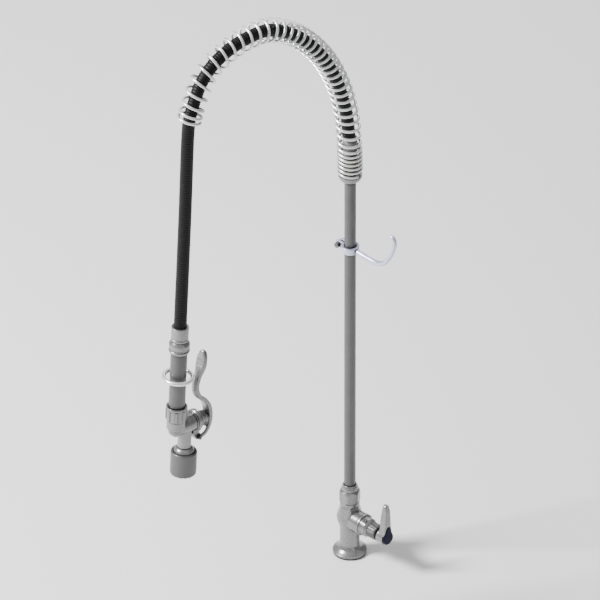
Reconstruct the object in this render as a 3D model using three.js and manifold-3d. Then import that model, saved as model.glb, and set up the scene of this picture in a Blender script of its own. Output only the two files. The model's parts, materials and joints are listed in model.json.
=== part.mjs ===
// Deck-mounted pre-rinse faucet: base valve, riser, finger hook, spring arch, hose and spray valve.
// Millimetres, +Z up. Origin at the centre of the flange underside; the arch reaches towards -Y.
import * as THREE from "three";
import { mergeVertices } from "three/addons/utils/BufferGeometryUtils.js";
import Module from "manifold-3d";

const wasm = await Module();
wasm.setup();

// Driving dimensions.
const CLEAR = 0.3; // gap between neighbouring pieces
const PIPE_R = 8.55; // 3/8 inch nominal pipe
const PIPE_BORE = 6.3;
const FLANGE_R = 25;
const PEDESTAL_R = 14.6;
const VALVE_Z = 62; // height of the valve axis, which runs along +X
const RISER_FOOT = 84;
const RISER_TOP = 690;
const HOOK_Z = 541;
const HOSE_R = 9.55;
const COIL_R = 16.6; // to the centre of the wire
const WIRE_R = 2.1;
const COIL_STEPS = 8; // steps of wire in one turn
const ARCH_SECTIONS = 8;
const FITTING_TOP = 736; // the hose leaves its metal fitting here
const HOSE_START = 78; // distance along the route
const BEND_NEAR = 103; // the arch bends at the first whole turn of wire past this distance
const WIRE_BREAK = 0.8; // each end of a length of wire is drawn back by this much
const HANG_TILT = THREE.MathUtils.degToRad(-3.17);
const GRIP_R = 12.2;
const BOSS_S = 177; // depth of the spray valve's cross axis below the ferrule top
const OUTLET_T = 19; // offset of the outlet axis from the grip axis
const PIVOT = [43, 207]; // lever pivot, offset and depth

// Route of the spring and hose, [Y, Z], from the riser top round to the mouth of the spring.
const ARCH = [
  [0, 660], [-1.5, 715], [-6, 770], [-12, 798], [-22, 833], [-36, 867], [-55, 902], [-79, 935],
  [-108, 966], [-137, 989], [-171, 1007], [-203, 1012.5], [-232, 1012.5], [-257, 1008], [-282, 998],
  [-304, 978], [-319, 949], [-327, 926],
];
// Route of the hose from the mouth down to the spray's ferrule.
const DROP = [[-329.6, 905], [-331.6, 870], [-336, 770], [-346.4, 576.2]];
const FERRULE_TOP = [-346.4, 575.7]; // [Y, Z] where the hose enters the spray's ferrule

const metal = (color, roughness) => new THREE.MeshStandardMaterial({ color, roughness, metalness: 1 });
const plain = (color, roughness) => new THREE.MeshStandardMaterial({ color, roughness, metalness: 0 });
const chrome = metal(0xd8dadc, 0.2);
const satin = metal(0x8c8c8c, 0.4);
const springSteel = metal(0xe2e4e6, 0.25);
const hookSteel = metal(0xdcdcec, 0.3);
const brass = metal(0xb08d4c, 0.4);
const ceramic = plain(0xeeeeea, 0.3);
const rubber = plain(0x1b1b1b, 0.8);
const hoseBlack = plain(0x141414, 0.6);
const navy = plain(0x14122e, 0.35);

const model = new THREE.Group();
const hang = new THREE.Group();
hang.position.set(0, FERRULE_TOP[0], FERRULE_TOP[1]);
hang.rotation.x = HANG_TILT;
model.add(hang);

// Shape helpers.
function toSolid(geometry) {
  const bare = geometry.clone();
  bare.deleteAttribute("normal");
  bare.deleteAttribute("uv");
  const merged = mergeVertices(bare, 1e-4);
  return new wasm.Manifold(new wasm.Mesh({
    numProp: 3,
    vertProperties: merged.attributes.position.array,
    triVerts: Uint32Array.from(merged.index.array),
  }));
}

function toGeometry(solid) {
  const { vertProperties, triVerts } = solid.getMesh();
  const geometry = new THREE.BufferGeometry();
  geometry.setAttribute("position", new THREE.BufferAttribute(vertProperties, 3));
  geometry.setIndex(new THREE.BufferAttribute(triVerts, 1));
  geometry.computeVertexNormals();
  return geometry;
}

const joined = (...shapes) => toGeometry(shapes.map(toSolid).reduce((sum, next) => sum.add(next)));
const shared = (...shapes) => toGeometry(shapes.map(toSolid).reduce((sum, next) => sum.intersect(next)));
const cut = (shape, ...tools) =>
  toGeometry(tools.map(toSolid).reduce((left, tool) => left.subtract(tool), toSolid(shape)));

// Solid of revolution about +Z from [radius, height] corners; off the axis it is a ring.
function turned(outline, sides = 14) {
  const points = outline.map(([radius, height]) => new THREE.Vector2(radius, height));
  if (THREE.ShapeUtils.area(points) < 0) points.reverse();
  const onAxis = points[0].x === 0 && points.at(-1).x === 0;
  if (!onAxis) points.push(points[0].clone());
  return new THREE.LatheGeometry(points, sides).rotateX(Math.PI / 2);
}

const rod = (radius, low, high, sides = 14) =>
  turned([[0, low], [radius, low], [radius, high], [0, high]], sides);
const ring = (inner, outer, low, high, sides = 14) =>
  turned([[inner, low], [outer, low], [outer, high], [inner, high]], sides);
const hexNut = (bore, corner, low, high) =>
  cut(rod(corner, low, high, 6), rod(bore, low - 1, high + 1, 16));
const alongX = (shape) => shape.rotateY(Math.PI / 2);
const alongY = (shape) => shape.rotateX(-Math.PI / 2);
const block = (size, at) => new THREE.BoxGeometry(...size).translate(...at);

// Outline in the Y-Z plane, pushed out along X between two planes.
function slabAlongX(shape, low, high) {
  const slab = new THREE.ExtrudeGeometry(shape, { depth: high - low, bevelEnabled: false, curveSegments: 8 });
  return slab.rotateY(Math.PI / 2).rotateX(Math.PI / 2).translate(low, 0, 0);
}

// Outline in the X-Z plane, pushed out along Y between two planes.
function slabAlongY(shape, low, high) {
  const slab = new THREE.ExtrudeGeometry(shape, { depth: high - low, bevelEnabled: false, curveSegments: 8 });
  return slab.rotateX(Math.PI / 2).translate(0, high, 0);
}

const outlineOf = (corners) => new THREE.Shape(corners.map(([x, y]) => new THREE.Vector2(x, y)));

// Strip of constant half thickness along a smooth line through the given points, with round ends.
function strip(points, half, steps, endSteps = 5) {
  const line = new THREE.SplineCurve(points.map(([x, y]) => new THREE.Vector2(x, y)));
  const left = [];
  const right = [];
  for (let i = 0; i <= steps; i += 1) {
    const at = line.getPointAt(i / steps);
    const run = line.getTangentAt(i / steps);
    left.push(new THREE.Vector2(at.x - run.y * half, at.y + run.x * half));
    right.unshift(new THREE.Vector2(at.x + run.y * half, at.y - run.x * half));
  }
  const cap = (u, sign) => {
    const at = line.getPointAt(u);
    const run = line.getTangentAt(u);
    const start = Math.atan2(run.x * sign, -run.y * sign);
    return Array.from({ length: endSteps - 1 }, (_, i) => {
      const turn = start - (Math.PI * (i + 1)) / endSteps;
      return new THREE.Vector2(at.x + half * Math.cos(turn), at.y + half * Math.sin(turn));
    });
  };
  return new THREE.Shape([...left, ...cap(1, 1), ...right, ...cap(0, -1)]);
}

function circle(radius, sides) {
  const corners = Array.from({ length: sides }, (_, i) => {
    const turn = (2 * Math.PI * i) / sides;
    return new THREE.Vector2(radius * Math.cos(turn), radius * Math.sin(turn));
  });
  return new THREE.Shape(corners);
}

const tube = (path, radius, steps, sides = 8) =>
  new THREE.ExtrudeGeometry(circle(radius, sides), { extrudePath: path, steps, bevelEnabled: false });

function piece(name, shape, material, parent = model) {
  const mesh = new THREE.Mesh(shape, material);
  mesh.name = name;
  parent.add(mesh);
}

// Base: flange, pedestal and tee, bored for the inlet, the valve and the riser.
function makeBase() {
  const outside = turned([
    [0, 2], [FLANGE_R, 2], [FLANGE_R, 5.5], [21, 8], [17.5, 11], [PEDESTAL_R, 16], [PEDESTAL_R, 46],
    [19, 60], [19.2, 66], [14.6, 86], [14.5, 92], [0, 92],
  ]);
  const barrel = alongX(rod(16.2, 0, 25.3, 20)).translate(0, 0, VALVE_Z);
  const inletSocket = rod(9.5, -1, 20);
  const inletWay = rod(4.2, 15, VALVE_Z, 12).translate(-7, 0, 0);
  const backPocket = alongX(rod(6, -11, 0)).translate(0, 0, VALVE_Z);
  const chamber = alongX(rod(9.2, -4, 30)).translate(0, 0, VALVE_Z);
  const outletWay = rod(5, VALVE_Z, 88, 12).translate(5, 0, 0);
  const riserSocket = rod(8.9, RISER_FOOT - 2, 95);
  const bores = [inletSocket, inletWay, backPocket, chamber, outletWay, riserSocket];
  piece("base_body", cut(joined(outside, barrel), ...bores), chrome);
  piece("deck_gasket", ring(10.5, 24.6, 0, 2, 20), rubber);
}

// Everything on the valve axis, from the cartridge out to the index cap.
function makeValve() {
  const place = (name, shape, material) => piece(name, alongX(shape).translate(0, 0, VALVE_Z), material);
  place("cartridge_seal", ring(5.2, 8.8, -3.7, -2.2, 16), rubber);
  const sleeve = turned([
    [6.5, -2], [9, -2], [9, 25.2], [4.4, 25.2], [4.4, 14], [6.5, 14],
  ]);
  const sidePort = rod(3, 0, 12, 10).rotateY(-Math.PI / 2).translate(0, 0, 5.5);
  place("cartridge_sleeve", cut(sleeve, sidePort), brass);
  const waterHole = rod(1.8, -3, 4, 8).translate(3.2, 0, 0);
  place("fixed_disc", cut(rod(6.2, -1.8, 0.4, 16), waterHole), ceramic);
  place("turning_disc", cut(rod(6.2, 0.6, 2.8, 16), waterHole), ceramic);
  const stem = turned([
    [0, 8], [6.1, 8], [6.1, 11], [4.1, 13], [4.1, 61], [3.2, 62], [3.2, 71.5], [0, 71.5],
  ], 16);
  const driver = block([9, 4, 6], [0, 0, 6]);
  place("valve_stem", joined(stem, driver), brass);
  const bonnet = turned([
    [4.4, 25.5], [16.8, 25.5], [16.8, 30.5], [14.6, 31.5], [14.6, 33.5], [14.2, 34], [14.2, 40.5],
    [11.6, 45], [6.3, 45], [6.3, 39], [4.4, 39],
  ], 16);
  const onCollar = (shape) => alongX(shape).rotateZ(THREE.MathUtils.degToRad(208)).translate(0, 0, 37.2);
  place("bonnet", cut(bonnet, onCollar(rod(2.1, 10, 20, 10))), chrome);
  const screw = turned([[0, 10.6], [1.8, 10.6], [1.8, 14.6], [3.1, 14.8], [3.1, 15.8], [0, 15.8]], 12);
  place("bonnet_set_screw", onCollar(cut(screw, rod(1.2, 14.2, 17, 6))), satin);
  place("stem_o_ring", turned([[4.2, 40], [6.1, 40], [6.1, 43.5], [4.2, 43.5]], 16), rubber);
  const grooves = Array.from({ length: 12 }, (_, i) => {
    const groove = rod(1.1, 44, 62, 6).translate(12.4, 0, 0);
    return groove.rotateZ((Math.PI * i) / 6);
  });
  const packing = turned([[4.4, 45.3], [11.8, 45.3], [11.8, 57.5], [10, 60], [4.4, 60]], 16);
  place("packing_nut", cut(packing, ...grooves), satin);
}

function makeHandle() {
  const hub = alongX(turned([
    [0, 62.3], [9.6, 62.3], [11, 63.8], [11, 76.3], [0, 76.3],
  ], 16)).translate(0, 0, VALVE_Z);
  const front = new THREE.Shape();
  front.moveTo(-8.5, VALVE_Z);
  front.lineTo(-4.9, 84);
  front.lineTo(-4.2, 115);
  front.absarc(0, 115.8, 4.2, Math.PI, 0, true);
  front.lineTo(4.9, 84);
  front.lineTo(8.5, VALVE_Z);
  const blade = slabAlongX(front, 66, 79.4);
  const side = outlineOf([[67, 55], [79.4, 55], [79.4, 108], [77, 120], [71, 120.2], [67, 92]]);
  const shaped = shared(blade, slabAlongY(side, -15, 15));
  const indexPocket = slabAlongX(indexOutline(0.3), 76.3, 82);
  const stemHole = alongX(rod(3.5, 60, 72, 16)).translate(0, 0, VALVE_Z);
  const screwWay = alongX(turned([
    [0, 71], [2.3, 71], [2.3, 72.6], [4.4, 72.6], [4.4, 78], [0, 78],
  ], 12)).translate(0, 0, VALVE_Z);
  piece("lever_handle", cut(joined(hub, shaped), indexPocket, stemHole, screwWay), chrome);
  const screw = alongX(turned([[0, 71.8], [2, 71.8], [2, 72.9], [4, 72.9], [4, 75.6], [0, 75.6]], 12));
  piece("handle_screw", screw.translate(0, 0, VALVE_Z), satin);
  piece("index_cap", slabAlongX(indexOutline(0), 76.6, 80.2), navy);
}

// Drop-shaped outline of the index: round about the valve axis, narrow towards the lever.
function indexOutline(margin) {
  const outline = new THREE.Shape();
  const right = THREE.MathUtils.degToRad(20);
  const left = Math.PI - right;
  outline.absarc(0, VALVE_Z, 9.6 + margin, left, right, false);
  outline.absarc(0, 79, 3.4 + margin, right, left, false);
  return outline;
}

function makeRiser() {
  piece("riser_gasket", ring(6.4, 8.6, RISER_FOOT - 2, RISER_FOOT - 0.2, 16), rubber);
  piece("riser_pipe", ring(PIPE_BORE, PIPE_R, RISER_FOOT, RISER_TOP, 16), satin);
  const hexagon = hexNut(8.85, 16.4, 92.2, 111.8);
  const rounding = turned([
    [0, 92.2], [14.4, 92.2], [15.6, 94.5], [15.6, 108], [13.2, 111.8], [0, 111.8],
  ], 16);
  piece("riser_nut", shared(hexagon.rotateZ(Math.PI / 6), rounding), chrome);
  piece("riser_collar", turned([
    [8.85, 112], [12.6, 112], [12.6, 115], [11.6, 118], [10, 121.5], [8.85, 121.5],
  ]), chrome);
}

function makeHook() {
  const band = ring(8.85, 13.5, HOOK_Z - 5, HOOK_Z + 5, 16);
  const ears = [-1, 1].map((sign) => block([13, 3.4, 10], [-17.5, sign * 3.2, HOOK_Z]));
  const split = block([20, 2.4, 20], [-16, 0, HOOK_Z]);
  const boltHole = alongY(rod(2.7, -10, 10, 12)).translate(-18.5, 0, HOOK_Z);
  const pipeSpace = rod(8.85, HOOK_Z - 20, HOOK_Z + 20, 16);
  const earPair = ears.map((ear) => cut(ear, pipeSpace));
  piece("hook_clamp_band", cut(joined(band, ...earPair), split, boltHole), hookSteel);
  const bolt = joined(
    alongY(rod(2.4, -9, 9.5, 12)),
    alongY(turned([[0, -10.4], [4.4, -10.4], [4.4, -5.2], [0, -5.2]], 6)),
  );
  piece("clamp_bolt", bolt.translate(-18.5, 0, HOOK_Z), satin);
  piece("clamp_nut", alongY(hexNut(2.65, 4.6, 5.2, 9)).translate(-18.5, 0, HOOK_Z), satin);
  const line = [
    [14, 541], [36, 540.4], [57, 542], [70, 549.5], [80, 563], [88.5, 582], [91, 594], [88, 601], [82, 602.5],
  ];
  const path = new THREE.CatmullRomCurve3(line.map(([x, z]) => new THREE.Vector3(x, 0, z)));
  piece("finger_hook", tube(path, 3.7, 18, 10), hookSteel);
}

function curveThrough(stops) {
  const points = stops.map(([y, z]) => new THREE.Vector3(0, y, z));
  const curve = new THREE.CatmullRomCurve3(points, false, "centripetal");
  curve.arcLengthDivisions = 800;
  return curve;
}

const route = curveThrough([...ARCH, ...DROP]);
const routeLength = route.getLength();
const archLength = curveThrough(ARCH).getLength();

// Part of the route as a curve of its own.
class RoutePart extends THREE.Curve {
  constructor(start, end) {
    super();
    this.start = start;
    this.end = end;
  }

  getPoint(u, target = new THREE.Vector3()) {
    const along = THREE.MathUtils.lerp(this.start, this.end, u);
    return target.copy(route.getPointAt(along / routeLength));
  }
}

// Distance between neighbouring turns: tight at the foot, open round the arch, closing at the mouth.
function pitchAt(along) {
  const opening = THREE.MathUtils.smoothstep(along, 50, 82);
  const closing = THREE.MathUtils.smoothstep(along, archLength - 24, archLength - 8);
  return 7.2 + 7.9 * opening + 1.6 * THREE.MathUtils.smoothstep(along, 250, 450) - 8.7 * closing;
}

// Centre of the wire at each step of the left-handed coil.
function wirePoints() {
  const points = [];
  let along = 15.5;
  for (let step = 0; along < archLength; step += 1) {
    const at = route.getPointAt(along / routeLength);
    const run = route.getTangentAt(along / routeLength);
    const across = new THREE.Vector3(1, 0, 0);
    const outward = run.clone().cross(across);
    const turn = (-2 * Math.PI * step) / COIL_STEPS;
    at.addScaledVector(across, COIL_R * Math.cos(turn)).addScaledVector(outward, COIL_R * Math.sin(turn));
    points.push({ at, along });
    along += pitchAt(along) / COIL_STEPS;
  }
  return points;
}

// Wire through a run of steps, its ends drawn back so that neighbouring lengths stay apart.
function wireLength(points) {
  const ends = [[0, 1], [points.length - 1, points.length - 2]];
  const drawn = points.map(({ at }) => at.clone());
  for (const [end, next] of ends) {
    const back = drawn[next].clone().sub(drawn[end]).normalize();
    drawn[end].addScaledVector(back, WIRE_BREAK);
  }
  return tube(new THREE.CatmullRomCurve3(drawn), WIRE_R, drawn.length - 1, 4);
}

const wire = wirePoints();
const bendStep = wire.findIndex(({ along }, step) => along > BEND_NEAR && step % COIL_STEPS === 0);
const bendAlong = wire[bendStep].along;

function makeSpring() {
  piece("spring_foot", wireLength(wire.slice(0, bendStep + 1)), springSteel);
  const arch = wire.slice(bendStep);
  for (let i = 0; i < ARCH_SECTIONS; i += 1) {
    const from = Math.round(((arch.length - 1) * i) / ARCH_SECTIONS);
    const to = Math.round(((arch.length - 1) * (i + 1)) / ARCH_SECTIONS);
    piece(`spring_arch_${i + 1}`, wireLength(arch.slice(from, to + 1)), springSteel);
  }
  piece("spring_ferrule", turned([
    [8.9, 661], [11, 661], [15.6, 664.5], [17.6, 669], [17.6, 673], [8.9, 673],
  ], 16), chrome);
}

function makeHose() {
  piece("hose_swivel_nut", hexNut(8.9, 12.1, 683, 703), brass);
  piece("hose_washer", ring(6.4, 8.6, RISER_TOP + 0.2, RISER_TOP + 2.2, 16), rubber);
  piece("hose_top_fitting", turned([
    [5, RISER_TOP + 2.5], [8.6, RISER_TOP + 2.5], [8.6, 703.3], [10.4, 703.3],
    [10.4, FITTING_TOP], [5, FITTING_TOP],
  ]), chrome);
  const stretch = (name, start, end, steps) =>
    piece(name, tube(new RoutePart(start, end), HOSE_R, steps, 10), hoseBlack);
  stretch("hose_riser_stretch", HOSE_START, bendAlong - CLEAR, 2);
  stretch("hose_arch_stretch", bendAlong + CLEAR, archLength - CLEAR, 22);
  stretch("hose_drop_stretch", archLength + CLEAR, routeLength, 8);
}

// The spray hangs in its own tilted group: offset t is +Y there and depth s is -Z.
const spun = (outline, sides = 14) => turned(outline.map(([radius, depth]) => [radius, -depth]), sides);
const acrossSpray = (shape) => alongY(shape).translate(0, 0, -BOSS_S);

function makeGrip() {
  const hung = (name, shape, material) => piece(name, shape, material, hang);
  hung("hose_ferrule", spun([[5.3, 0.3], [12.9, 0.3], [12.9, 23.7], [5.3, 23.7]], 16), chrome);
  hung("grip_collar_nut", spun([
    [5.3, 24], [12.6, 24], [15.4, 28.5], [15.4, 35.5], [14.2, 36.5], [14.2, 38.5], [15.6, 39.5], [14.6, 43.2],
    [5.3, 43.2],
  ], 16), chrome);
  hung("inner_tube", spun([
    [3.6, 43.6], [5, 43.6], [5, 149.8], [12.2, 149.8], [12.2, 152.3], [3.6, 152.3],
  ], 14), brass);
  hung("grip_sleeve", spun([[8.6, 43.6], [GRIP_R, 43.6], [GRIP_R, 139.4], [8.6, 139.4]], 16), satin);
  const ribs = Array.from({ length: 8 }, (_, i) => {
    const rib = block([3.4, 2.2, 18.6], [0, 14.9, -149.3]);
    return rib.rotateZ((Math.PI * i) / 4);
  });
  const nut = spun([
    [12.5, 136.8], [15.4, 136.8], [15.8, 138.4], [15.8, 139.6], [14.6, 140.2], [14.6, 159.6], [12.9, 159.6],
    [12.9, 139.7], [12.5, 139.7],
  ], 16);
  hung("coupling_nut", joined(nut, ...ribs), chrome);
  hung("coupling_washer", ring(5.4, 12, -154.6, -152.6, 16), rubber);
  hung("hold_down_ring", new THREE.TorusGeometry(20.8, 3.1, 8, 18).translate(0, 0, -87), springSteel);
}

function makeSprayBody() {
  const hung = (name, shape, material) => piece(name, shape, material, hang);
  const barrel = spun([
    [0, 154.9], [12.4, 154.9], [12.4, 160], [13.8, 160], [13.8, 182], [11.6, 187.5], [7, 188.3], [0, 188.3],
  ], 16);
  const boss = acrossSpray(turned([[0, 0], [10.3, 0], [13.4, 22], [13.4, 31.7], [0, 31.7]], 16));
  const stem = spun([
    [0, 180], [11.4, 180], [10.1, 192], [10.1, 214.7], [0, 214.7],
  ], 16).translate(0, OUTLET_T, 0);
  const crossBore = acrossSpray(rod(6.6, 9, 40, 16));
  const seatHole = acrossSpray(rod(3.4, 4, 14, 12));
  const inletBore = spun([[0, 150], [7, 150], [7, 184], [0, 184]], 16);
  const outletBore = spun([[0, 177], [5.5, 177], [5.5, 220], [0, 220]], 14).translate(0, OUTLET_T, 0);
  hung("spray_body", cut(joined(barrel, boss, stem), crossBore, seatHole, inletBore, outletBore), chrome);
  hung("body_plug", spun([[0, 188.6], [6, 188.6], [6, 190.4], [4.6, 191.8], [0, 191.8]], 14), chrome);
  const collar = acrossSpray(ring(7, 14.2, 32, 34.2, 16));
  const lugOutline = outlineOf([
    [32, 186], [34.2, 184], [PIVOT[0] + 4, PIVOT[1] - 3], [PIVOT[0] + 4, PIVOT[1] + 3],
    [PIVOT[0], PIVOT[1] + 4.4], [PIVOT[0] - 4, PIVOT[1] + 3], [32, 198],
  ].map(([offset, depth]) => [offset, -depth]));
  const lug = slabAlongX(lugOutline, -4.9, 4.9);
  const pinHole = alongX(rod(2.2, -12, 12, 12)).translate(0, PIVOT[0], -PIVOT[1]);
  const plungerWay = acrossSpray(rod(7, 30, 50, 16));
  const bonnetSpace = acrossSpray(rod(16.3, 34.3, 44.4, 16));
  hung("lever_bracket", cut(joined(collar, lug), pinHole, plungerWay, bonnetSpace), chrome);
  const pin = joined(
    alongX(rod(2, -8.9, 8.9, 12)),
    alongX(rod(3.3, -9.9, -8.5, 12)),
    alongX(rod(3.3, 8.5, 9.9, 12)),
  );
  hung("lever_pivot_pin", pin.translate(0, PIVOT[0], -PIVOT[1]), satin);
}

function makeSprayValve() {
  const hung = (name, shape, material) => piece(name, shape, material, hang);
  const bonnet = turned([
    [2.6, 34.5], [14.6, 34.5], [16, 36], [16, 39], [14.8, 39.6], [14.8, 41], [15.6, 41.6], [14.4, 44],
    [8.6, 44], [8.6, 36.6], [2.6, 36.6],
  ], 16);
  hung("spray_bonnet", acrossSpray(bonnet), chrome);
  const plunger = turned([
    [0, 0.8], [2.2, 0.8], [2.2, 42.6], [8.2, 42.6], [8.2, 53.5], [6.8, 57], [4, 60.2], [0, 61.1],
  ], 16);
  hung("plunger", acrossSpray(plunger), satin);
  hung("plunger_seal", acrossSpray(ring(2.5, 5.4, 0.9, 3.7, 14)), rubber);
  const turns = 2.5;
  const coil = Array.from({ length: 26 }, (_, i) => {
    const turn = (2 * Math.PI * turns * i) / 25;
    return new THREE.Vector3(5.6 * Math.cos(turn), 5.6 * Math.sin(turn), 37.6 + (4 * i) / 25);
  });
  hung("plunger_spring", acrossSpray(tube(new THREE.CatmullRomCurve3(coil), 0.6, 25, 5)), springSteel);
}

// Squeeze lever seen along the grip's front: leaf-shaped thumb pad, waist, and a wide forked foot.
function leverPlan() {
  const side = [
    [8.3, -222], [8.3, -160], [6.2, -135], [5.2, -112], [5.8, -103], [9.2, -88], [9.2, -81], [8, -73],
    [6, -67.5], [3.2, -64], [0, -62.8],
  ];
  const mirrored = side.slice(0, -1).map(([x, z]) => [-x, z]);
  return outlineOf([...side, ...mirrored.reverse()]);
}

function makeLever() {
  const line = [
    [50, 66], [48.5, 77], [45.5, 92], [40, 108], [37.2, 122], [42, 137], [54, 149], [62, 162], [65.2, 178],
    [63, 193], [55, 204], [43.5, 207.2],
  ].map(([offset, depth]) => [offset, -depth]);
  const blade = slabAlongX(strip(line, 3.6, 26), -8.3, 8.3);
  const fork = block([10.4, 60, 24], [0, 45, -(PIVOT[1] + 1)]);
  const pinHole = alongX(rod(2.2, -12, 12, 12)).translate(0, PIVOT[0], -PIVOT[1]);
  piece("squeeze_lever", cut(shared(blade, slabAlongY(leverPlan(), 20, 80)), fork, pinHole), chrome, hang);
}

function makeBell() {
  const hung = (name, shape, material) => piece(name, shape.translate(0, OUTLET_T, 0), material, hang);
  hung("bell_dome", spun([
    [5.5, 215], [10.4, 215], [12.4, 216.4], [14.6, 219], [15.2, 222], [15.2, 226.3], [16.8, 226.3],
    [16.8, 229.7], [5.5, 229.7],
  ], 16), chrome);
  hung("bell_gasket", spun([[6, 230], [16.8, 230], [16.8, 231.6], [6, 231.6]], 16), rubber);
  hung("spray_bell", spun([
    [15.5, 222], [18.2, 222], [19.3, 223.4], [19.3, 258.4],
    [18.4, 260], [17.2, 260], [17.2, 226], [15.5, 226],
  ], 16), satin);
  hung("spray_core", spun([
    [2.4, 232], [6, 232], [8, 236], [16.6, 244], [16.6, 255.2], [2.4, 255.2],
  ], 16), brass);
  const jets = Array.from({ length: 10 }, (_, i) =>
    spun([[0, 250], [1.3, 250], [1.3, 262], [0, 262]], 6).translate(11, 0, 0).rotateZ((Math.PI * i) / 5));
  const face = spun([[2.4, 255.5], [16.8, 255.5], [16.8, 258.4], [2.4, 258.4]], 20);
  hung("spray_face", cut(face, ...jets), satin);
  hung("face_screw", spun([
    [0, 236], [2.1, 236], [2.1, 258.7], [4, 258.7], [3.4, 260.4], [0, 260.4],
  ], 12), satin);
}

makeBase();
makeValve();
makeHandle();
makeRiser();
makeHook();
makeSpring();
makeHose();
makeGrip();
makeSprayBody();
makeSprayValve();
makeLever();
makeBell();

export default model;
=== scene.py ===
import bisect
import json
import math

import bmesh
import bpy
from mathutils import Matrix, Vector
from mathutils.geometry import interpolate_bezier


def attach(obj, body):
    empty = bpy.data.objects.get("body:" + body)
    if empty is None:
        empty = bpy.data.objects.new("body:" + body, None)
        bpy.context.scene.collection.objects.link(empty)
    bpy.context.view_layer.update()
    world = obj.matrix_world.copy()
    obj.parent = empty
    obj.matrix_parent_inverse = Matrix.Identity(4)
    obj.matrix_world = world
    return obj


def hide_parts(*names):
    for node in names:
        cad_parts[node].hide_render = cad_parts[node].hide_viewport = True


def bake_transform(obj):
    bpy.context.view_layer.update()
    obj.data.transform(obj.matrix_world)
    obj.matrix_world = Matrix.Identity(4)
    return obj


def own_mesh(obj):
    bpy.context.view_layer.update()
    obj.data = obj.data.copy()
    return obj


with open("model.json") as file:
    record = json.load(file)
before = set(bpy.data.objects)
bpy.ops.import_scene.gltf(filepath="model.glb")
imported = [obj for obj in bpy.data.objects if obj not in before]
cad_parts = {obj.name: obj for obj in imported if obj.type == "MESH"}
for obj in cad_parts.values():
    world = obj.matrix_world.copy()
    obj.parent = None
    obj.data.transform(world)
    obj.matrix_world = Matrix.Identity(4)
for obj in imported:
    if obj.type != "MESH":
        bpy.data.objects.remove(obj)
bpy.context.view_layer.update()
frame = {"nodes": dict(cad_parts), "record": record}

MM = 0.001

# Dimensions in millimetres, as in the CAD source.
VALVE_Z = 62
HOOK_Z = 541
WIRE_R = 2.1
HOSE_R = 9.55
BOSS_S = 177
OUTLET_T = 19
PIN_T, PIN_S = 43, 207
HANG_TILT = math.radians(-3.17)
FERRULE_TOP = (-346.4, 575.7)
COIL_FOOT = 15.5  # distance along the route where the wire starts
COIL_R = 16.6
HOSE_START = 78
HOSE_SPLIT = 470  # the two lengths of hose meet here, out of sight inside the spring
RIB = 4.2  # spacing of the hose's ribs
RIB_DEPTH = 0.55

# Route of the spring and hose, (Y, Z), then of the hose on down to the spray's ferrule.
ARCH = [
    (0, 660), (-1.5, 715), (-6, 770), (-12, 798), (-22, 833), (-36, 867), (-55, 902), (-79, 935),
    (-108, 966), (-137, 989), (-171, 1007), (-203, 1012.5), (-232, 1012.5), (-257, 1008), (-282, 998),
    (-304, 978), (-319, 949), (-327, 926),
]
DROP = [(-329.6, 905), (-331.6, 870), (-336, 770), (-346.4, 576.2)]

ON_Z = Matrix.Identity(4)
ON_VALVE = Matrix.Translation((0, 0, VALVE_Z)) @ Matrix.Rotation(math.pi / 2, 4, "Y")
HANG = Matrix.Translation((0, *FERRULE_TOP)) @ Matrix.Rotation(HANG_TILT, 4, "X")
DOWN = HANG @ Matrix.Scale(-1, 4, (0, 0, 1))  # heights become depths below the ferrule's top
ON_BOSS = HANG @ Matrix.Translation((0, 0, -BOSS_S)) @ Matrix.Rotation(-math.pi / 2, 4, "X")
ON_OUTLET = DOWN @ Matrix.Translation((0, OUTLET_T, 0))
ON_PIN = HANG @ Matrix.Translation((0, PIN_T, -PIN_S)) @ Matrix.Rotation(math.pi / 2, 4, "Y")


# ---- camera and light --------------------------------------------------------------------------

FRAME_WIDTH = 0.870  # metres across the picture at the object
LENS = 1600  # so long that the view is almost parallel
SENSOR = 36
RIGHT = Vector((1, 1, 0)).normalized()
TOWARDS = Vector((1, -1, 1)).normalized()
UP = TOWARDS.cross(RIGHT)
TARGET = RIGHT * -0.0726 + UP * 0.3662 + TOWARDS * 0.25  # middle of the picture

# The backdrop's grey by height, from 0 straight down to 1 overhead: pale at the horizon, and dimmer
# just above it, so that the metal has something to reflect.
HORIZON, OVERHEAD = 0.5, 0.9
SKY = ((0.52, 0.95), (0.56, 0.42), (0.62, 0.42))
SKY_BLUE = 1.03
SKY_STRENGTH = 0.6


def make_camera():
    camera = bpy.data.objects.new("camera", bpy.data.cameras.new("camera"))
    camera.data.lens = LENS
    camera.data.sensor_width = SENSOR
    camera.data.clip_start = 1
    camera.data.clip_end = 200
    camera.rotation_euler = TOWARDS.to_track_quat("Z", "Y").to_euler()
    camera.location = TARGET + TOWARDS * FRAME_WIDTH * LENS / SENSOR
    bpy.context.scene.collection.objects.link(camera)
    bpy.context.scene.camera = camera


def area_light(name, place, target, size, power):
    light = bpy.data.lights.new(name, "AREA")
    light.size = size
    light.energy = power
    lamp = bpy.data.objects.new(name, light)
    lamp.location = place
    lamp.rotation_euler = (Vector(place) - Vector(target)).to_track_quat("Z", "Y").to_euler()
    bpy.context.scene.collection.objects.link(lamp)


def add_node(tree, kind, **values):
    """New node; each value goes to the node's own setting of that name, or else to its input."""
    node = tree.nodes.new(kind)
    for key, value in values.items():
        if hasattr(node, key):
            setattr(node, key, value)
        else:
            node.inputs[key].default_value = value
    return node


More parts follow.
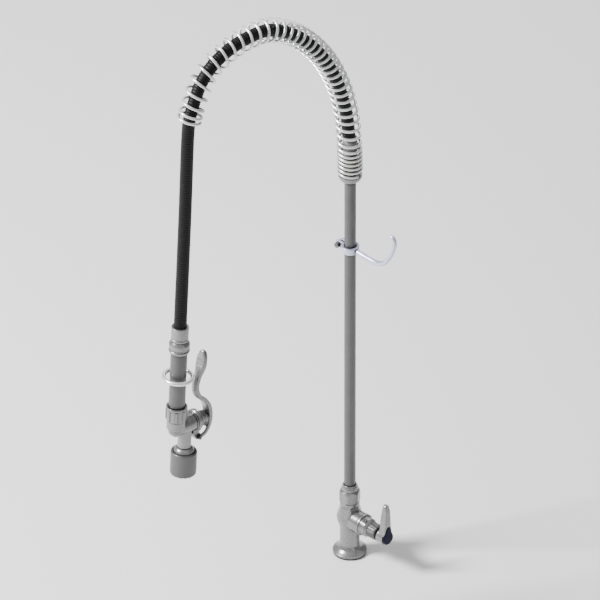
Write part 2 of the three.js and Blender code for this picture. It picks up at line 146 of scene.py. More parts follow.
def light_world():
    world = bpy.data.worlds.new("studio")
    world.use_nodes = True
    bpy.context.scene.world = world
    tree = world.node_tree
    background = tree.nodes["Background"]
    background.inputs["Strength"].default_value = SKY_STRENGTH
    coords = add_node(tree, "ShaderNodeTexCoord")
    split = add_node(tree, "ShaderNodeSeparateXYZ")
    height = add_node(tree, "ShaderNodeMath", operation="MULTIPLY_ADD")
    height.inputs[1].default_value = 0.5
    height.inputs[2].default_value = 0.5
    ramp = add_node(tree, "ShaderNodeValToRGB")
    for end, place in zip(ramp.color_ramp.elements, (HORIZON, OVERHEAD)):
        end.position = place
        end.color = (1, 1, 1, 1)
    for place, grey in SKY:
        ramp.color_ramp.elements.new(place).color = (grey, grey, grey * SKY_BLUE, 1)
    tree.links.new(coords.outputs["Generated"], split.inputs[0])
    tree.links.new(split.outputs["Z"], height.inputs[0])
    tree.links.new(height.outputs[0], ramp.inputs[0])
    tree.links.new(ramp.outputs[0], background.inputs["Color"])


make_camera()
area_light("key", (-1.5, -2.2, 2.8), (0, -0.15, 0.5), 0.9, 330)
area_light("fill", (3.0, -0.6, 1.4), (0, -0.15, 0.5), 1.2, 6)
area_light("back", (-1.5, 2.6, 2.2), (0, -0.15, 0.6), 1.5, 24)
light_world()


# ---- materials ---------------------------------------------------------------------------------

PAINTED_SHADE_REACH = 0.007  # metres round an inner corner that the painted shade darkens
PAINTED_SHADE_POWER = 2.6
PAINTED_SHADE_SHARE = 0.12  # of the metal's colour, left in the deepest seam by the painted shade
TARNISH = 0.9  # of the metal's colour, in its duller patches


def new_material(name):
    """Material with its tree, its shader and its texture coordinates."""
    material = bpy.data.materials.new(name)
    material.use_nodes = True
    tree = material.node_tree
    return material, tree, tree.nodes["Principled BSDF"], add_node(tree, "ShaderNodeTexCoord")


def texture(tree, shader, fine, low, high, bump, distance):
    """A fine noise drives the roughness, from low to high, and the surface's relief."""
    gloss = add_node(tree, "ShaderNodeMapRange")
    gloss.inputs["To Min"].default_value = low
    gloss.inputs["To Max"].default_value = high
    tree.links.new(fine.outputs["Fac"], gloss.inputs["Value"])
    tree.links.new(gloss.outputs[0], shader.inputs["Roughness"])
    relief = add_node(tree, "ShaderNodeBump")
    relief.inputs["Strength"].default_value = bump
    relief.inputs["Distance"].default_value = distance
    tree.links.new(fine.outputs["Fac"], relief.inputs["Height"])
    tree.links.new(relief.outputs[0], shader.inputs["Normal"])


def metal(name, color, roughness, grain=(1, 1, 1), bump=0.02, spread=0.06, metallic=0.85):
    """Metal with fine directional grain in its roughness and surface, duller patches at random, and painted
    shade that darkens its colour in seams and inner corners.
    """
    material, tree, shader, coords = new_material(name)
    shader.inputs["Metallic"].default_value = metallic
    stretch = add_node(tree, "ShaderNodeMapping", Scale=grain)
    fine = add_node(tree, "ShaderNodeTexNoise", Scale=900.0, Detail=4.0, Roughness=0.6)
    broad = add_node(tree, "ShaderNodeTexNoise", Scale=45.0, Detail=3.0)
    tree.links.new(coords.outputs["Object"], stretch.inputs[0])
    tree.links.new(stretch.outputs[0], fine.inputs["Vector"])
    tree.links.new(coords.outputs["Object"], broad.inputs["Vector"])
    texture(tree, shader, fine, max(roughness - spread, 0.03), roughness + spread, bump, 0.0002)
    tint = add_node(tree, "ShaderNodeValToRGB")
    for end, place, share in zip(tint.color_ramp.elements, (0.3, 0.7), (TARNISH, 1)):
        end.position = place
        end.color = (*[c * share for c in color], 1)
    tree.links.new(broad.outputs["Fac"], tint.inputs[0])
    # Painted shade: ambient occlusion darkens the colour in seams, inner corners and gaps between parts,
    # where shade falls.
    seam = add_node(tree, "ShaderNodeAmbientOcclusion", samples=6, Distance=PAINTED_SHADE_REACH)
    tree.links.new(tint.outputs[0], seam.inputs["Color"])
    depth = add_node(tree, "ShaderNodeMath", operation="POWER")
    depth.inputs[1].default_value = PAINTED_SHADE_POWER
    tree.links.new(seam.outputs["AO"], depth.inputs[0])
    painted_shade_mix = add_node(tree, "ShaderNodeMix", data_type="RGBA")
    painted_shade_dark, painted_shade_clean = painted_shade_mix.inputs[6], painted_shade_mix.inputs[7]  # the colour pair among its inputs
    painted_shade_dark.default_value = (*[c * PAINTED_SHADE_SHARE for c in color], 1)
    tree.links.new(depth.outputs[0], painted_shade_mix.inputs["Factor"])
    tree.links.new(tint.outputs[0], painted_shade_clean)
    tree.links.new(painted_shade_mix.outputs[2], shader.inputs["Base Color"])
    return material


def polymer(name, color, roughness, scale=600.0, bump=0.15, shine=0.5, vary=0.25):
    """Moulded plastic or rubber with a fine texture and slight unevenness of colour."""
    material, tree, shader, coords = new_material(name)
    shader.inputs["Specular IOR Level"].default_value = shine
    fine = add_node(tree, "ShaderNodeTexNoise", Scale=scale, Detail=3.0)
    broad = add_node(tree, "ShaderNodeTexNoise", Scale=60.0, Detail=2.0)
    for noise in (fine, broad):
        tree.links.new(coords.outputs["Object"], noise.inputs["Vector"])
    texture(tree, shader, fine, max(roughness - 0.08, 0.05), roughness + 0.08, bump, 0.0003)
    tint = add_node(tree, "ShaderNodeValToRGB")
    for end, share in zip(tint.color_ramp.elements, (1 - vary, 1 + vary)):
        end.color = (*[min(c * share, 1) for c in color], 1)
    tree.links.new(broad.outputs["Fac"], tint.inputs[0])
    tree.links.new(tint.outputs[0], shader.inputs["Base Color"])
    return material


BRUSHED = (1, 1, 0.03)  # grain drawn out along a piece's length
MATERIALS = {
    "chrome": metal("cast_chrome", (0.24, 0.24, 0.244), 0.27, bump=0.03, metallic=0.6),
    "satin_steel": metal("satin_steel", (0.105, 0.105, 0.105), 0.38, grain=BRUSHED, bump=0.05,
                         metallic=0.5),
    "spring_steel": metal("spring_wire", (0.84, 0.845, 0.85), 0.28, bump=0.03, metallic=0.7),
    "hook_steel": metal("hook_steel", (0.6, 0.61, 0.8), 0.3, bump=0.03, metallic=0.6),
    "brass": metal("machined_brass", (0.69, 0.52, 0.26), 0.35, grain=(1, 1, 0.1)),
    "ceramic": polymer("ceramic", (0.75, 0.75, 0.72), 0.25),
    "rubber": polymer("seal_rubber", (0.018, 0.018, 0.018), 0.75),
    "hose_black": polymer("hose_jacket", (0.004, 0.004, 0.0045), 0.5, scale=900.0, bump=0.25,
                          shine=0.18),
    "index_blue": polymer("index_plastic", (0.006, 0.005, 0.022), 0.35, shine=0.08),
}


def repaint_frame():
    """Every CAD node gets the procedural material of its slot."""
    for part in frame["record"]["subparts"]:
        node = frame["nodes"][part["node"]]
        node.data.materials.clear()
        node.data.materials.append(MATERIALS[part["material_slot"]])


repaint_frame()


# ---- mesh tools --------------------------------------------------------------------------------

def add_mesh(name, verts, faces, slot, place=ON_Z, sharp=35):
    """Closed mesh from points in millimetres, put in place, with only its real edges left sharp."""
    mesh = bpy.data.meshes.new(name)
    mesh.from_pydata([tuple(v) for v in verts], [], faces)
    mesh.transform(Matrix.Scale(MM, 4) @ place)
    tidy = bmesh.new()
    tidy.from_mesh(mesh)
    bmesh.ops.remove_doubles(tidy, verts=tidy.verts, dist=1e-7)
    bmesh.ops.dissolve_degenerate(tidy, edges=tidy.edges, dist=1e-8)
    bmesh.ops.recalc_face_normals(tidy, faces=tidy.faces)
    tidy.to_mesh(mesh)
    tidy.free()
    mesh.polygons.foreach_set("use_smooth", [True] * len(mesh.polygons))
    mesh.set_sharp_from_angle(angle=math.radians(sharp))
    mesh.materials.append(MATERIALS[slot])
    obj = bpy.data.objects.new(name, mesh)
    bpy.context.scene.collection.objects.link(obj)
    return obj


def rounded(outline, radius, steps=3):
    """The outline with its corners off the axis turned into small arcs."""
    points = [Vector(p) for p in outline]
    count = len(points)
    closed = points[0].x > 0 or points[-1].x > 0
    out = []
    for i, corner in enumerate(points):
        if corner.x == 0 or (not closed and i in (0, count - 1)):
            out.append(corner)
            continue
        before = points[i - 1] - corner
        after = points[(i + 1) % count] - corner
        reach = min(radius, before.length * 0.45, after.length * 0.45)
        start = corner + before.normalized() * reach
        end = corner + after.normalized() * reach
        for k in range(steps + 1):
            t = k / steps
            out.append(start * (1 - t) ** 2 + corner * 2 * t * (1 - t) + end * t * t)
    return out


def lathe(name, outline, slot, place=ON_Z, corner=0.4, segments=72, shape=None, sharp=35, dense=0):
    """Solid of revolution from (radius, height) corners; shape(angle, radius, height) moves a radius."""
    points = rounded(outline, corner)
    if dense:
        filled = []
        for a, b in zip(points, points[1:] + points[:1]):
            parts = max(1, math.ceil((b - a).length / dense))
            filled += [a.lerp(b, k / parts) for k in range(parts)]
        points = filled
    verts = []
    for p in points:
        for k in range(segments):
            angle = 2 * math.pi * k / segments
            radius = shape(angle, p.x, p.y) if shape and p.x > 0 else p.x
            verts.append((radius * math.cos(angle), radius * math.sin(angle), p.y))
    rings = len(points)
    last = rings if outline[0][0] > 0 or outline[-1][0] > 0 else rings - 1
    faces = []
    for i in range(last):
        for k in range(segments):
            here, above, beside = i * segments, (i + 1) % rings * segments, (k + 1) % segments
            faces.append((here + k, here + beside, above + beside, above + k))
    return add_mesh(name, verts, faces, slot, place, sharp)


def sweep(name, rings, slot, place=ON_Z, sharp=40):
    """Closed skin over a row of rings of points, capped at both ends."""
    sides = len(rings[0])
    verts = [p for ring in rings for p in ring]
    faces = [tuple(range(sides))[::-1], tuple(range(len(verts) - sides, len(verts)))]
    for i in range(len(rings) - 1):
        for k in range(sides):
            a, b = i * sides + k, i * sides + (k + 1) % sides
            faces.append((a, b, b + sides, a + sides))
    return add_mesh(name, verts, faces, slot, place, sharp)


def hoop(centre, across, up, radius, sides):
    """Ring of points round a centre."""
    turns = (2 * math.pi * k / sides for k in range(sides))
    return [centre + (across * math.cos(a) + up * math.sin(a)) * radius for a in turns]


class Line:
    """Smooth centripetal line through the stops, measured by the distance along it."""

    def __init__(self, stops):
        points = [Vector(s) for s in stops]
        ends = [points[0] * 2 - points[1], *points, points[-1] * 2 - points[-2]]
        self.points = []
        for a, b, c, d in zip(ends, ends[1:], ends[2:], ends[3:]):
            before, here, after = (math.sqrt((q - p).length) for p, q in ((a, b), (b, c), (c, d)))
            out = ((b - a) / before - (c - a) / (before + here) + (c - b) / here) * here / 3
            back = ((c - b) / here - (d - b) / (here + after) + (d - c) / after) * here / 3
            self.points += interpolate_bezier(b, b + out, c - back, c, 60)[:-1]
        self.points.append(points[-1])
        self.travelled = [0.0]
        for a, b in zip(self.points, self.points[1:]):
            self.travelled.append(self.travelled[-1] + (b - a).length)
        self.length = self.travelled[-1]

    def at(self, along):
        """Point and direction at a distance along the line."""
        along = min(max(along, 0), self.length)
        i = min(max(bisect.bisect(self.travelled, along) - 1, 0), len(self.points) - 2)
        a, b = self.points[i], self.points[i + 1]
        share = (along - self.travelled[i]) / (self.travelled[i + 1] - self.travelled[i])
        last = len(self.points) - 1
        before = (self.points[min(i + 1, last)] - self.points[max(i - 1, 0)]).normalized()
        after = (self.points[min(i + 2, last)] - self.points[i]).normalized()
        return a.lerp(b, share), before.lerp(after, share).normalized()

    def stops(self, start, end, count):
        return [self.at(start + (end - start) * k / (count - 1))[0] for k in range(count)]


def applied(obj):
    """Replaces the object's mesh by what its modifiers make of it."""
    old = obj.data
    mesh = bpy.data.meshes.new_from_object(obj.evaluated_get(bpy.context.evaluated_depsgraph_get()))
    obj.modifiers.clear()
    obj.data = mesh
    bpy.data.meshes.remove(old)


def combine(obj, others, operation):
    """Joins the other solids to obj, or cuts them out of it, and removes them."""
    for other in others:
        step = obj.modifiers.new("step", "BOOLEAN")
        step.operation = operation
        step.solver = "MANIFOLD"
        step.object = other
    if others:
        applied(obj)
    for other in others:
        mesh = other.data
        bpy.data.objects.remove(other)
        bpy.data.meshes.remove(mesh)
    return obj


def drilled(obj, tools, sharp=35):
    combine(obj, tools, "DIFFERENCE")
    obj.data.set_sharp_from_angle(angle=math.radians(sharp))
    return obj


def cast(solids, tools=(), voxel=0.5, rounds=3):
    """One skin over joined solids, less the tools, with edges and inner corners soft as on cast metal."""
    first, *others = solids
    combine(first, others, "UNION")
    combine(first, tools, "DIFFERENCE")
    remesh = first.modifiers.new("remesh", "REMESH")
    remesh.mode = "VOXEL"
    remesh.voxel_size = voxel * MM
    relax = first.modifiers.new("relax", "SMOOTH")
    relax.iterations = rounds
    relax.factor = 0.5
    slot_material = first.data.materials[0]
    applied(first)
    skin = first.data
    skin.polygons.foreach_set("use_smooth", [True] * len(skin.polygons))
    skin.materials.clear()
    skin.materials.append(slot_material)
    return first


def rod(radius, low, high, place=ON_Z, sides=48):
    return lathe("tool", [(0, low), (radius, low), (radius, high), (0, high)], "chrome", place, 0, sides)


def block(size, at, place=ON_Z):
    square = ((-1, -1), (1, -1), (1, 1), (-1, 1))
    corners = [[c * s / 2 + a for c, s, a in zip((x, y, z), size, at)] for z in (-1, 1) for x, y in square]
    faces = [(0, 1, 2, 3), (4, 5, 6, 7), (0, 1, 5, 4), (1, 2, 6, 5), (2, 3, 7, 6), (3, 0, 4, 7)]
    return add_mesh("tool", corners, faces, "chrome", place)


def slab(name, outline, low, high, slot, place=ON_Z):
    """Outline of (Y, Z) corners pushed out along X."""
    return sweep(name, [[(x, y, z) for y, z in outline] for x in (low, high)], slot, place)


def stand_for(obj, body, *nodes):
    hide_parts(*nodes)
    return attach(obj, body)


def hexagon(across_flats, turn=0.0):
    """Cuts a turned blank down to six flats; the first flat faces the angle turn."""
    def shape(angle, radius, height):
        away = (angle - turn + math.pi / 6) % (math.pi / 3) - math.pi / 6
        return min(radius, across_flats / 2 / math.cos(away))
    return shape


# ---- spring and hose ---------------------------------------------------------------------------

route = Line([(0, y, z) for y, z in ARCH + DROP])
ARCH_LENGTH = Line([(0, y, z) for y, z in ARCH]).length


def smoothstep(value, low, high):
    t = min(max((value - low) / (high - low), 0), 1)
    return t * t * (3 - 2 * t)


def pitch_at(along):
    opening = smoothstep(along, 50, 82)
    closing = smoothstep(along, ARCH_LENGTH - 24, ARCH_LENGTH - 8)
    return 7.2 + 7.9 * opening + 1.6 * smoothstep(along, 250, 450) - 8.7 * closing


def make_spring():
    """One left-handed wire from the ferrule to the mouth, ground round at both ends."""
    steps, parts, sides = 8, 6, 12  # steps to a turn, parts to a step, sides of the wire
    stations = [COIL_FOOT]
    while stations[-1] + pitch_at(stations[-1]) / steps < ARCH_LENGTH:
        stations.append(stations[-1] + pitch_at(stations[-1]) / steps)
    centres = []
    for step, along in enumerate(stations[:-1]):
        for part in range(parts):
            share = part / parts
            at, run = route.at(along + (stations[step + 1] - along) * share)
            turn = -2 * math.pi * (step + share) / steps
            across = Vector((1, 0, 0))
            outward = across * math.cos(turn) + run.cross(across) * math.sin(turn)
            centres.append((at + outward * COIL_R, outward))
    rings = []
    last = len(centres) - 1
    for i, (centre, outward) in enumerate(centres):
        run = (centres[min(i + 1, last)][0] - centres[max(i - 1, 0)][0]).normalized()
        side = run.cross(outward).normalized()
        outward = side.cross(run)
        radius = WIRE_R * (0.72 if i in (0, last) else 1)
        rings.append(hoop(centre, outward, side, radius, sides))
    coil = sweep("spring_coil", rings, "spring_steel")
    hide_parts("spring_foot", *[f"spring_arch_{i}" for i in range(1, 9)])
    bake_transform(coil)


def make_hose(name, start, end, nodes):
    """Ribbed hose along part of the route."""
    sides = 28
    count = int((end - start) / (RIB / 8))
    rings = []
    for i in range(count + 1):
        along = start + (end - start) * i / count
        at, run = route.at(along)
        across = Vector((1, 0, 0))
        outward = run.cross(across)
        groove = (0.5 - 0.5 * math.cos(2 * math.pi * along / RIB)) ** 3
        rings.append(hoop(at, across, outward, HOSE_R - RIB_DEPTH * groove, sides))
    hose = sweep(name, rings, "hose_black", sharp=80)
    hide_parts(*nodes)
    path = [tuple(p * MM) for p in route.stops(start, end, 30)]
    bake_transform(hose)
    return path[-1]


make_spring()
hose_meet = make_hose("hose_in_spring", HOSE_START, HOSE_SPLIT, ["hose_riser_stretch", "hose_arch_stretch"])
make_hose("hose_hanging", HOSE_SPLIT, route.length, ["hose_drop_stretch"])


# ---- turned pieces -----------------------------------------------------------------------------

def turned(node, body, outline, slot, place=ON_Z, **how):
    """Finer turned piece that stands for one CAD node."""
    return stand_for(lathe(f"{node}_fine", outline, slot, place, **how), body, node)


def bar(bore, radius, low, high):
    return [(bore, low), (radius, low), (radius, high), (bore, high)]


def flutes(count, centre, radius):
    """Round grooves cut along a turned piece, their centres on a circle."""
    def shape(angle, r, height):
        away = (angle + math.pi / count) % (2 * math.pi / count) - math.pi / count
        side = centre * math.sin(away)
        if abs(side) >= radius or r < centre - radius - 1:
            return r
        return min(r, centre * math.cos(away) - math.sqrt(radius ** 2 - side ** 2))
    return shape


def ribs(angle, r, height):
    """Eight low ribs along the coupling nut, rounded off at their ends."""
    core, low, high, proud = 14.4, 140.2, 159, 1.4
    if r < core or not low < height < high:
        return r
    away = (angle + math.pi / 8) % (math.pi / 4) - math.pi / 8
    across = 1 - smoothstep(abs(away) * 14.6, 1.3, 1.8)
    return r + proud * across * smoothstep(height, low, 141.4) * (1 - smoothstep(height, 157.6, high))


turned("deck_gasket", "base", bar(10.5, 24.6, 0, 2), "rubber", segments=96, corner=0.5)
turned("riser_pipe", "base", bar(6.3, 8.55, 84, 690), "satin_steel", corner=0.5)
turned("riser_nut", "base", [
    (8.85, 92.2), (14.4, 92.2), (15.7, 94.5), (15.7, 108), (13.2, 111.8), (8.85, 111.8),
], "chrome", shape=hexagon(28.4, math.pi / 6), dense=0.8, corner=0.6, segments=144)
turned("riser_collar", "base", [
    (8.85, 112), (12.6, 112), (12.6, 115), (11.6, 118), (10, 121.5), (8.85, 121.5),
], "chrome")
turned("bonnet", "base", [
    (4.4, 25.5), (16.8, 25.5), (16.8, 30.5), (14.6, 31.5), (14.6, 33.5), (14.2, 34), (14.2, 40.5),
    (11.6, 45), (6.3, 45), (6.3, 39), (4.4, 39),
], "chrome", ON_VALVE, segments=96)
turned("packing_nut", "base", [(4.4, 45.3), (11.8, 45.3), (11.8, 57.5), (10, 60), (4.4, 60)], "satin_steel",
       ON_VALVE, segments=192, shape=flutes(12, 12.5, 1.5), dense=0.9)
turned("spring_ferrule", "spring_root", [
    (8.9, 661), (11, 661), (15.6, 664.5), (17.6, 669), (17.6, 673), (8.9, 673),
], "chrome", segments=96)
turned("hose_top_fitting", "base", [
    (5, 692.5), (8.6, 692.5), (8.6, 703.3), (10.4, 703.3), (10.4, 722), (9.7, 722.6), (9.7, 724.4),
    (10.4, 725), (10.4, 736), (5, 736),
], "chrome", corner=0.5)
turned("hose_ferrule", "spray", [
    (5.3, 0.3), (12.9, 0.3), (12.9, 18.2), (12.4, 18.6), (12.4, 19.4), (12.9, 19.8), (12.9, 23.7),
    (5.3, 23.7),
], "chrome", DOWN, segments=96, corner=1)
turned("grip_collar_nut", "spray", [
    (5.3, 24), (12.6, 24), (15.4, 28.5), (15.4, 35.5), (14.2, 36.5), (14.2, 38.5), (15.6, 39.5), (14.6, 43.2),
    (5.3, 43.2),
], "chrome", DOWN, segments=96)
turned("grip_sleeve", "spray", bar(8.6, 12.2, 43.6, 139.4), "satin_steel", DOWN, segments=96)
turned("coupling_nut", "spray", [
    (12.5, 136.8), (15.4, 136.8), (15.8, 138.4), (15.8, 139.6), (14.6, 140.2), (14.6, 159.6), (12.9, 159.6),
    (12.9, 139.7), (12.5, 139.7),
], "chrome", DOWN, segments=192, shape=ribs, dense=0.6, corner=0.3)
turned("body_plug", "spray", [
    (0, 186.3), (5.2, 186.3), (5.2, 187.8), (4.2, 188.8), (0, 188.8),
], "chrome", DOWN)
turned("spray_bonnet", "spray", [
    (2.6, 34.5), (14.6, 34.5), (16, 36), (16, 39), (14.8, 39.6), (14.8, 41), (15.6, 41.6), (14.4, 44),
    (8.6, 44), (8.6, 36.6), (2.6, 36.6),
], "chrome", ON_BOSS, segments=96)
turned("plunger", "push_button", [
    (0, 0.8), (2.2, 0.8), (2.2, 42.6), (8.2, 42.6), (8.2, 53.5), (7.6, 56), (6.2, 58.6), (3.6, 60.5),
    (0, 61.1),
], "satin_steel", ON_BOSS, corner=1)
turned("bell_dome", "spray", [
    (5.5, 215), (10.4, 215), (12.4, 216.4), (14.6, 219), (15.2, 222), (15.2, 226.3), (16.8, 226.3),
    (16.8, 229.7), (5.5, 229.7),
], "chrome", ON_OUTLET, segments=96, corner=0.9)
turned("bell_gasket", "spray", bar(6, 16.8, 230, 231.6), "rubber", ON_OUTLET, segments=96)
bell = turned("spray_bell", "spray", [
    (15.5, 222), (18.2, 222), (19.3, 223.4), (19.3, 258.4), (18.4, 260), (17.2, 260), (17.2, 226),
    (15.5, 226),
], "satin_steel", ON_OUTLET, segments=160, dense=2, corner=0.5)
foot = Matrix.Translation((18.5, 0, 261)) @ Matrix.Rotation(math.pi / 2, 4, "Y")
drilled(bell, [rod(2.3, -4, 4, ON_OUTLET @ Matrix.Rotation(math.pi * k / 8, 4, "Z") @ foot, 24)
               for k in range(16)])

wire = [(20.8 + 3.1 * math.cos(a), 87 + 3.1 * math.sin(a)) for a in (math.pi * k / 9 for k in range(18))]
turned("hold_down_ring", "ring", wire, "spring_steel", DOWN, segments=96, corner=0)

face = turned("spray_face", "spray", bar(2.4, 16.8, 255.5, 258.4), "satin_steel", ON_OUTLET, segments=96)
drilled(face, [rod(1.3, 250, 262, ON_OUTLET @ Matrix.Translation((11 * math.cos(a), 11 * math.sin(a), 0)), 20)
               for a in (math.pi * k / 5 for k in range(10))])
screw = turned("face_screw", "spray", [
    (0, 236), (2.1, 236), (2.1, 258.7), (4, 258.7), (3.4, 260.4), (0, 260.4),
], "satin_steel", ON_OUTLET)
drilled(screw, [block((10, 1, 1.6), (0, 0, 260.2), ON_OUTLET)])

on_collar = Matrix.Translation((37.2, 0, VALVE_Z)) @ Matrix.Rotation(math.radians(28), 4, "X")
screw = turned("bonnet_set_screw", "base", [
    (0, 10.6), (1.8, 10.6), (1.8, 14.6), (3.1, 14.8), (3.1, 15.8), (0, 15.8),
], "satin_steel", on_collar, corner=0.2)
drilled(screw, [rod(1.35, 14.9, 17, on_collar, 6)])


# ---- cast and forged pieces --------------------------------------------------------------------

def wrench_flats(angle, radius, height):
    """Six flats on the cone above the belly, their corners running out in triangles at its widest edge."""
    belly, cone_top, inside = 66, 86, 14
    half_across, taper = 18.8, 0.305
    if not belly + 0.2 < height < cone_top or radius < inside:
        return radius
    away = (angle + math.pi / 4) % (math.pi / 3) - math.pi / 6
    return min(radius, (half_across - (height - belly) * taper) / math.cos(away))


def make_base():
    outside = lathe("base_body_fine", [
        (0, 2), (25, 2), (25, 5.5), (21, 8), (17.5, 11), (14.6, 16), (14.6, 46), (19, 60), (19.2, 66),
        (14.6, 86), (14.5, 92), (0, 92),
    ], "chrome", segments=144, corner=0.3, shape=wrench_flats, dense=1.5)
    barrel = rod(16.2, 0, 25.3, ON_VALVE, 96)
    tools = [
        rod(9.5, -1, 20), rod(4.2, 15, VALVE_Z, Matrix.Translation((-7, 0, 0))), rod(6, -11, 0, ON_VALVE),
        rod(9.2, -4, 30, ON_VALVE), rod(5, VALVE_Z, 88, Matrix.Translation((5, 0, 0))), rod(8.9, 82, 95),
    ]
    stand_for(cast([outside, barrel], tools, rounds=1), "base", "base_body")


def drop_outline(margin, count=24):
    """Round about the valve axis and narrow towards the lever's tip, as (Y, Z)."""
    outline = []
    for radius, height, start, turn in ((9.6, VALVE_Z, 160, 220), (3.4, 79, 20, 140)):
        for k in range(count + 1):
            a = math.radians(start + turn * k / count)
            outline.append(((radius + margin) * math.cos(a), height + (radius + margin) * math.sin(a)))
    return outline


def rounded_ring(half_wide, half_deep, power, count=32):
    """Points of a squared-off ellipse."""
    out = []
    for k in range(count):
        a = 2 * math.pi * k / count
        out.append(tuple(half * math.copysign(abs(c) ** power, c)
                         for half, c in ((half_wide, math.cos(a)), (half_deep, math.sin(a)))))
    return out


def between(value, stops):
    """Value on a broken line through (place, value) stops."""
    for (a, u), (b, v) in zip(stops, stops[1:]):
        if value <= b:
            return u + (v - u) * min(max((value - a) / (b - a), 0), 1)
    return stops[-1][1]


def make_handle():
    rings = []
    for k in range(40):
        z = 56 + 64.2 * math.sin(math.pi / 2 * k / 39)
        tip = math.sqrt(max(1 - max((z - 115.6) / 4.7, 0) ** 2, 0.01))
        wide = between(z, [(56, 7.2), (62, 9), (72, 8), (84, 6.3), (100, 5.2), (115, 4.5), (120, 4.5)])
        inner = between(z, [(56, 67), (92, 67), (120, 71)])
        outer = between(z, [(56, 79.4), (108, 79.4), (120, 77)])
        middle, deep = (inner + outer) / 2, (outer - inner) / 2
        power = 0.34 + 0.4 * smoothstep(z, 110, 120)
        rings.append([(middle + x, y, z) for y, x in rounded_ring(wide * tip, deep, power)])
    blade = sweep("lever_handle_fine", rings, "chrome")
    hub = lathe("hub", [(0, 62.3), (9.6, 62.3), (11, 63.8), (11, 76.3), (0, 76.3)], "chrome", ON_VALVE)
    tools = [
        slab("tool", drop_outline(0.3), 76.3, 82, "chrome"), rod(3.5, 60, 72, ON_VALVE),
        rod(2.3, 71, 73, ON_VALVE), rod(4.4, 72.6, 78, ON_VALVE),
    ]
    stand_for(cast([blade, hub], tools, voxel=0.4, rounds=2), "base_handle", "lever_handle")
    crown = ((76.6, 1), (79.2, 1), (79.9, 0.97), (80.15, 0.92), (80.25, 0.8), (80.3, 0.4))
    layers = [[(x, y * share, 68 + (z - 68) * share) for y, z in drop_outline(0)] for x, share in crown]
    stand_for(sweep("index_cap_fine", layers, "index_blue", sharp=30), "base_handle", "index_cap")


def make_hook():
    band = lathe("clamp_band_fine", bar(8.85, 13.5, HOOK_Z - 5, HOOK_Z + 5), "hook_steel", corner=0.8)
    ears = [block((13, 3.4, 10), (-17.5, sign * 3.2, HOOK_Z)) for sign in (-1, 1)]
    across = Matrix.Translation((-18.5, 0, HOOK_Z)) @ Matrix.Rotation(-math.pi / 2, 4, "X")
    tools = [
        rod(8.85, HOOK_Z - 20, HOOK_Z + 20), block((20, 2.4, 20), (-16, 0, HOOK_Z)),
        rod(2.7, -10, 10, across),
    ]
    stand_for(cast([band, *ears], tools, voxel=0.35, rounds=3), "hook", "hook_clamp_band")
    head = lathe("clamp_bolt_fine", [
        (0, -10.4), (3.9, -10.4), (4.5, -9.9), (4.5, -5.2), (2.4, -5.2), (2.4, 9), (1.9, 9.5), (0, 9.5),
    ], "satin_steel", across, segments=72, corner=0.15, dense=0.5, shape=hexagon(7.6, math.pi / 6))
    stand_for(head, "hook", "clamp_bolt")
    nut = lathe("clamp_nut_fine", [
        (2.65, 5.2), (4.3, 5.2), (4.6, 5.6), (4.6, 8.6), (4.3, 9), (2.65, 9),
    ], "satin_steel", across, segments=72, corner=0.15, dense=0.5, shape=hexagon(7.96, math.pi / 6))
    stand_for(nut, "hook", "clamp_nut")
    line = Line([(x, 0, z) for x, z in (
        (13.2, 541), (36, 540.4), (57, 542), (70, 549.5), (80, 563), (88.5, 582), (91, 594), (88, 601),
        (82, 602.5),
    )])
    side = Vector((0, 1, 0))
    rings = []
    count, sides = 120, 28
    for k in range(count + 1):
        along = line.length * (0.5 - 0.5 * math.cos(math.pi * k / count))
        at, run = line.at(along)
        radius = 4.3 - 1.4 * along / line.length
        for reach in (along / 3, (line.length - along) / 3):
            radius *= math.sqrt(max(1 - max(1 - reach, 0) ** 2, 0.02))
        rings.append(hoop(at, side, run.cross(side), radius, sides))
    stand_for(sweep("finger_hook_fine", rings, "hook_steel"), "hook", "finger_hook")


def make_spray_body():
    barrel = lathe("spray_body_fine", [
        (0, 154.9), (12.4, 154.9), (12.4, 160), (13.8, 160), (13.8, 174), (12.6, 175.6), (11, 176.2),
        (11, 181), (9.8, 184), (6.5, 186.2), (0, 186.2),
    ], "chrome", DOWN, corner=0.5)
    boss = lathe("boss", [(0, 0), (10.3, 0), (13.4, 22), (13.4, 31.7), (0, 31.7)], "chrome", ON_BOSS,
                 corner=0.6)
    stem = lathe("stem", [(0, 180), (11.4, 180), (10.1, 192), (10.1, 214.7), (0, 214.7)], "chrome",
                 ON_OUTLET)
    tools = [
        rod(6.6, 9, 40, ON_BOSS), rod(3.4, 4, 14, ON_BOSS), rod(7, 150, 184, DOWN),
        rod(5.5, 177, 220, ON_OUTLET),
    ]
    stand_for(cast([barrel, boss, stem], tools, rounds=4), "spray", "spray_body")


def make_bracket():
    collar = lathe("lever_bracket_fine", bar(7, 14.2, 32, 34.2), "chrome", ON_BOSS)
    outline = [(32, 186), (34.2, 184), (47, 204), (47, 210), (43, 211.4), (39, 210), (32, 198)]
    lug = slab("lug", [(t, -s) for t, s in outline], -4.9, 4.9, "chrome", HANG)
    tools = [rod(2.2, -12, 12, ON_PIN), rod(7, 30, 50, ON_BOSS), rod(16.3, 34.3, 44.4, ON_BOSS)]
    stand_for(cast([collar, lug], tools, voxel=0.35, rounds=2), "spray", "lever_bracket")
    pin = lathe("pivot_pin_fine", [
        (0, -9.9), (2.6, -9.9), (3.3, -9.3), (3.3, -8.5), (2, -8.5), (2, 8.5), (3.3, 8.5), (3.3, 9.3),
        (2.6, 9.9), (0, 9.9),
    ], "satin_steel", ON_PIN, corner=0.3)
    stand_for(pin, "spray", "lever_pivot_pin")


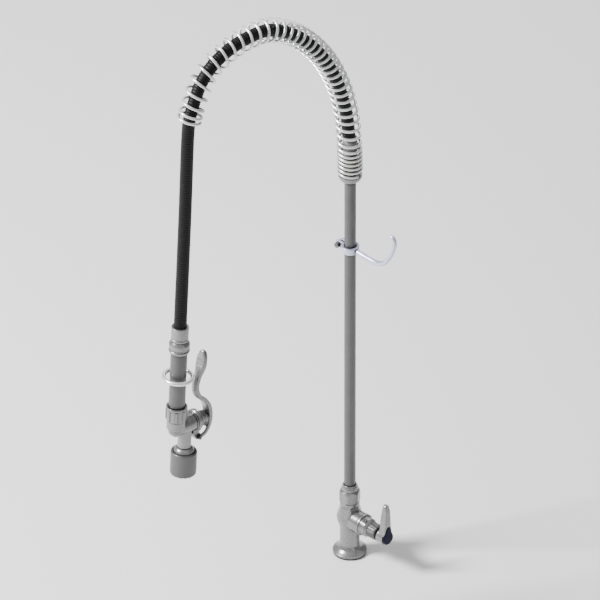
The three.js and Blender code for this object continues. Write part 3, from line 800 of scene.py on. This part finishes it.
def make_lever():
    """Squeeze lever: thumb pad with cross ridges, raised spine, waist, then a wide forked bow."""
    line = Line([(0, t, -s) for t, s in (
        (50, 66), (48.5, 77), (45.5, 92), (40, 108), (37.2, 122), (42, 137), (54, 149), (62, 162),
        (65.2, 178), (63, 193), (55, 204), (43.5, 207.2),
    )])
    rings = []
    count, sides = 260, 64
    overhang = 3.4  # how far the rounded ends pass the line's ends
    for k in range(count + 1):
        along = -overhang + (line.length + 2 * overhang) * k / count
        at, run = line.at(along)
        overrun = min(along, 0) + max(along - line.length, 0)
        at = at + run * overrun
        depth = -at.z
        out = Vector((0, -run.z, run.y))
        out = out if out.y > 0 else -out
        end = math.sqrt(max(1 - (overrun / 3.6) ** 2, 0.02))
        wide = between(depth, [
            (60, 7), (68, 7.6), (76, 8.6), (82, 9.2), (88, 9.1), (94, 8), (100, 6.4), (106, 5.5),
            (114, 5.2), (122, 5.5), (135, 6.2), (160, 8.3), (215, 8.3),
        ])
        if along < 9:
            wide *= math.sqrt(max(1 - ((9 - along) / 12.6) ** 2, 0.02))
        spine = 1.2 * smoothstep(depth, 90, 96) * (1 - smoothstep(depth, 128, 146))
        ridge = 0.7 * sum(math.exp(-((depth - mid) / 0.9) ** 2) for mid in (79, 87))
        ring_points = []
        for x, n in rounded_ring(wide, 3.5 * end, 0.45, sides):
            if n < 0:  # the face towards the grip
                n -= (spine * max(1 - (x / 2.8) ** 4, 0) + ridge * max(1 - (x / wide) ** 6, 0)) * end
            ring_points.append(at + Vector((x, 0, 0)) + out * n)
        rings.append(ring_points)
    blade = sweep("squeeze_lever_fine", rings, "chrome", HANG)
    tools = [block((10.4, 60, 24), (0, 45, -208), HANG), rod(2.2, -12, 12, ON_PIN)]
    stand_for(cast([blade], tools, voxel=0.4, rounds=2), "lever", "squeeze_lever")


def make_plunger_spring():
    """Return spring under the plunger's cap, which the cap presses flat."""
    turns, sides, count = 2.5, 12, 120
    coil_r, wire_r, foot, rise, seat_height = 5.6, 0.6, 37.6, 4, 36.7
    along = Vector((0, 0, 1))
    rings = []
    for i in range(count + 1):
        turn = 2 * math.pi * turns * i / count
        out = Vector((math.cos(turn), math.sin(turn), 0))
        rings.append(hoop(out * coil_r + along * (foot + rise * i / count), out, along, wire_r, sides))
    coil = sweep("plunger_spring_fine", rings, "spring_steel", ON_BOSS)
    stand_for(coil, "spray", "plunger_spring")
    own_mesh(coil)


make_base()
make_handle()
make_hook()
make_spray_body()
make_bracket()
make_lever()
make_plunger_spring()


# ---- floor -------------------------------------------------------------------------------------

def make_floor():
    width, thick, gap = 44000, 20, 0.2  # millimetres; the gap keeps it clear of the object's foot
    floor = block((width, width, thick), (0, 0, -thick / 2 - gap))
    floor.name = "floor"
    material = polymer("pale_floor", (0.9, 0.9, 0.9), 0.7, scale=300.0, bump=0.01, vary=0.01)
    floor.data.materials.clear()
    floor.data.materials.append(material)


make_floor()
